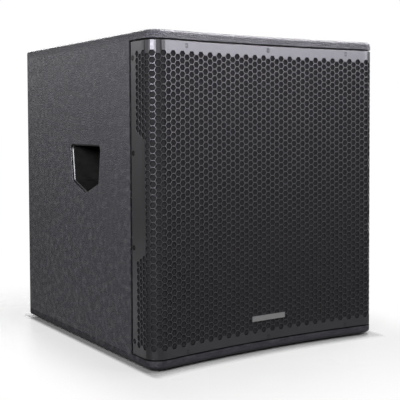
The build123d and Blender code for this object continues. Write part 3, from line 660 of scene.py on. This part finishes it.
def make_foam():
    """The foam behind the grille: a soft sheet with a slightly uneven face."""
    low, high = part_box("grille_foam")
    end = FRONT_LENGTH + CORNER_LENGTH + high.y - CORNER_Y
    front = SHEET + FOAM_GAP
    back = front + FOAM_THICKNESS
    columns = FOAM_COLUMNS
    rows = FOAM_ROWS
    across = [-end + 2 * end * column / columns for column in range(columns + 1)]
    heights = [low.z + (high.z - low.z) * row / rows for row in range(rows + 1)]
    points = []
    for z in heights:
        for s in across:
            spot = Vector((s * FOAM_WAVES_PER_METRE, z * FOAM_WAVES_PER_METRE, 0))
            wave = FOAM_WAVE * (1 + noise.noise(spot))
            points.append((*outline(s, front + wave), z))
    shift = len(points)
    for z in heights:
        points += [(*outline(s, back), z) for s in across]
    wide = columns + 1
    faces = []
    for row in range(rows):
        for column in range(columns):
            a = row * wide + column
            quad = [a, a + 1, a + 1 + wide, a + wide]
            faces.append(quad)
            faces.append([shift + i for i in reversed(quad)])
    loop = list(range(columns))
    loop += [r * wide + columns for r in range(rows)]
    loop += [rows * wide + c for c in range(columns, 0, -1)]
    loop += [r * wide for r in range(rows, 0, -1)]
    for a, b in zip(loop, loop[1:] + loop[:1]):
        faces.append([b, a, shift + a, shift + b])
    mesh = bpy.data.meshes.new("foam_sheet")
    mesh.from_pydata(points, [], faces)
    foam = add_object("foam_sheet", mesh)
    mesh.shade_smooth()
    give(foam, open_foam())
    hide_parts("grille_foam")
    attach(foam, "cabinet")


FELT_VOXEL = 0.006
FELT_WAVE = 0.0005
FELT_WAVES_PER_METRE = 45


def make_linings():
    """The damping felt on both side walls: soft sheets with rounded edges and an uneven face."""
    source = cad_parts["side_linings"]
    lining = add_object("felt_linings", source.data.copy())
    lining.matrix_world = source.matrix_world.copy()
    remesh = lining.modifiers.new("felt", "REMESH")
    remesh.mode = "VOXEL"
    remesh.voxel_size = FELT_VOXEL
    made = lining.evaluated_get(bpy.context.evaluated_depsgraph_get())
    mesh = bpy.data.meshes.new_from_object(made)
    lining.modifiers.clear()
    lining.data = mesh
    for vertex in mesh.vertices:
        wave = FELT_WAVE * (1 + noise.noise(vertex.co * FELT_WAVES_PER_METRE))
        vertex.co -= vertex.normal * wave
    mesh.shade_smooth()
    give(lining, felt("needle_felt_sheet"))
    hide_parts("side_linings")
    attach(lining, "cabinet")


# ---- dial marks ----

# Each knob's ticks: the sweep to either side of the top in degrees, the rest in metres.
TICK_COUNT = 11
TICK_SWEEP = 150
TICK_INNER = 0.0118
TICK_OUTER = 0.0142
TICK_WIDTH = 0.0006
TICK_HEIGHT = 0.0002
TICK_CORNERS = ((TICK_INNER, -1), (TICK_OUTER, -1), (TICK_OUTER, 1), (TICK_INNER, 1))
TICK_LOOPS = ((0, 1, 2, 3), (7, 6, 5, 4), (4, 5, 1, 0), (5, 6, 2, 1), (6, 7, 3, 2), (7, 4, 0, 3))


def make_dial_marks():
    """Plain printed ticks round the two knobs."""
    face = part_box("amp_plate")[1].y
    points = []
    faces = []
    for name in ("level_knob", "crossover_knob"):
        knob_low, knob_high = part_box(name)
        middle = (knob_low + knob_high) / 2
        for k in range(TICK_COUNT):
            angle = math.radians(TICK_SWEEP * (2 * k / (TICK_COUNT - 1) - 1))
            out = Vector((math.sin(angle), 0, math.cos(angle)))
            across = Vector((math.cos(angle), 0, -math.sin(angle))) * (TICK_WIDTH / 2)
            start = len(points)
            for y in (face, face + TICK_HEIGHT):
                for reach, side in TICK_CORNERS:
                    spot = middle + out * reach + across * side
                    points.append((spot.x, y, spot.z))
            for loop in TICK_LOOPS:
                faces.append([start + i for i in loop])
    mesh = bpy.data.meshes.new("dial_marks")
    mesh.from_pydata(points, [], faces)
    marks = add_object("dial_marks", mesh)
    give(marks, flat_paint("tick_ink", 0.6))
    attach(marks, "cabinet")


# ---- studio ----

FLOOR_HALF_SIZE = 4
BACKDROP_RADIUS = 9
WORLD_STRENGTH = 0.12

# How the floor fades out round the cabinet: it is opaque and dark near the outline, a painted
# contact shadow over the near step and painted shade fading out over the far step, narrower to the
# sides. Each step is (from, to) in metres, (from, to) clear.
SIDEWAYS_SHADOW_FADE = 2.2
NEAR_SHADOW_FADE = ((0.0, 0.03), (0.0, 0.67))
FAR_SHADOW_FADE = ((0.03, 0.42), (0.0, 0.33))

# Soft boxes: name, place, target, width, height, watts.
SOFT_BOXES = (
    ("right_front", (1.6, -1.9, 1.15), (0, FRONT, 1.15), 1.2, 0.8, 68),
    ("right_front_high", (1.6, -1.9, 1.95), (0, FRONT, 1.95), 1.2, 0.8, 115),
    ("right_front_low", (1.6, -1.9, 0.45), (0, FRONT, 0.45), 1.2, 0.6, 2.5),
    ("left_front", (-1.68, -1.38, 1.12), (-0.25, FRONT, 1.12), 0.55, 0.8, 140),
    ("left_front_low", (-1.68, -1.38, 0.45), (-0.25, FRONT, 0.45), 0.55, 0.5, 2),
    ("left_under", (-1.3, 1.3, -0.35), (-HALF, -0.2, 0.1), 0.8, 0.5, 1.3),
    ("left_side", (-1.9, -0.15, 1.1), (-HALF, -0.15, 1.1), 0.7, 0.8, 9),
    ("front_left", (-1.1, -2.1, 1.15), (-0.2, FRONT, 1.15), 0.7, 0.8, 9),
    ("left_back", (-1.2, 1.8, 1.15), (-HALF, 0, 1.15), 1.2, 0.8, 8.5),
    ("left_back_low", (-1.2, 1.8, 0.45), (-HALF, 0, 0.45), 1.2, 0.6, 0.8),
    ("back", (0.7, 2.3, 1.3), (0, BACK, 0.4), 1.2, 1.0, 55),
    ("right_side", (2.3, 0.4, 1.3), (HALF, 0, 0.3), 1.2, 1.0, 25),
    ("top_edge", (1.15, -0.06, 2.25), (0, FRONT, HEIGHT), 1.2, 0.35, 150),
)


def area_light(name, place, target, width, height, power):
    """A soft box that points at target and doesn't show."""
    data = bpy.data.lights.new(name, "AREA")
    data.shape = "RECTANGLE"
    data.size = width
    data.size_y = height
    data.energy = power
    lamp = add_object(name, data)
    lamp.location = place
    lamp.rotation_mode = "QUATERNION"
    lamp.rotation_quaternion = (Vector(target) - Vector(place)).to_track_quat("-Z", "Y")
    lamp.visible_camera = False


def painted_shadow_fade(s):
    """How clear the floor is: 0 under the cabinet, 1 well away from its outline. Where it is not
    clear, the dark floor is painted shadow.
    """
    x, y, _ = s.axes()
    bow = s.math("SUBTRACT", 1.0, s.math("POWER", s.math("DIVIDE", x, CORNER_X), 2.0))
    forward = s.math("ADD", s.math("MULTIPLY", y, -1.0), s.math("MULTIPLY", bow, FRONT_SAG))
    reach = s.math("MAXIMUM", forward, y)
    beyond_y = s.math("MAXIMUM", s.math("SUBTRACT", reach, BACK), 0.0)
    beyond_x = s.math("MAXIMUM", s.math("SUBTRACT", s.math("ABSOLUTE", x), HALF), 0.0)
    sideways = s.math("POWER", s.math("MULTIPLY", beyond_x, SIDEWAYS_SHADOW_FADE), 2.0)
    away = s.math("SQRT", s.math("ADD", sideways, s.math("POWER", beyond_y, 2.0)))
    near = s.mapped(away, *NEAR_SHADOW_FADE, easing="SMOOTHSTEP")
    return s.math("ADD", near, s.mapped(away, *FAR_SHADOW_FADE, easing="SMOOTHSTEP"))


def make_floor():
    """A pale floor that takes the contact shadow and fades out. The contact shadow is partly
    painted: the floor is opaque and dark near the cabinet, and the lamps' own shadow deepens it.
    """
    mesh = bpy.data.meshes.new("floor")
    size = FLOOR_HALF_SIZE
    corners = [(-size, -size, 0), (size, -size, 0), (size, size, 0), (-size, size, 0)]
    mesh.from_pydata(corners, [], [(0, 1, 2, 3)])
    floor = add_object("floor", mesh)
    s = Shader("floor_paint", 0.5, Specular_IOR_Level=0.1)
    s.colour(s.ramp(s.noise(3, 2), (0.3, 0.14), (0.7, 0.16)))
    s.rough(s.noise(5, 2), 0.2, 0.3)
    clear = s.node("ShaderNodeBsdfTransparent")
    mix = s.node("ShaderNodeMixShader")
    # Painted shadow: the floor is opaque and dark near the cabinet's outline and clear further
    # out.
    s.join(painted_shadow_fade(s), mix.inputs["Fac"])
    s.join(s.shader.outputs["BSDF"], mix.inputs[1])
    s.join(clear.outputs["BSDF"], mix.inputs[2])
    s.join(mix.outputs["Shader"], s.tree.nodes["Material Output"].inputs["Surface"])
    give(floor, s.material)


def make_backdrop():
    """A white dome all round that only the camera sees."""
    bpy.ops.mesh.primitive_uv_sphere_add(segments=32, ring_count=16, radius=BACKDROP_RADIUS)
    backdrop = bpy.context.object
    backdrop.name = "backdrop"
    s = Shader("backdrop_white", 1.0)
    s.shader.inputs["Base Color"].default_value = (0, 0, 0, 1)
    s.shader.inputs["Emission Color"].default_value = (1, 1, 1, 1)
    s.shader.inputs["Emission Strength"].default_value = 1.0
    give(backdrop, s.material)
    for kind in ("diffuse", "glossy", "transmission", "shadow"):
        setattr(backdrop, "visible_" + kind, False)


def make_studio():
    """The floor, the backdrop, a dim even surround and the soft boxes."""
    make_floor()
    make_backdrop()
    world = bpy.data.worlds.new("surround")
    world.use_nodes = True
    background = world.node_tree.nodes["Background"]
    background.inputs["Color"].default_value = (1, 1, 1, 1)
    background.inputs["Strength"].default_value = WORLD_STRENGTH
    bpy.context.scene.world = world
    for box in SOFT_BOXES:
        area_light(*box)


make_camera()
node_materials()
make_grille()
make_foam()
make_linings()
make_dial_marks()
make_studio()
bpy.context.scene.view_settings.view_transform = "Standard"
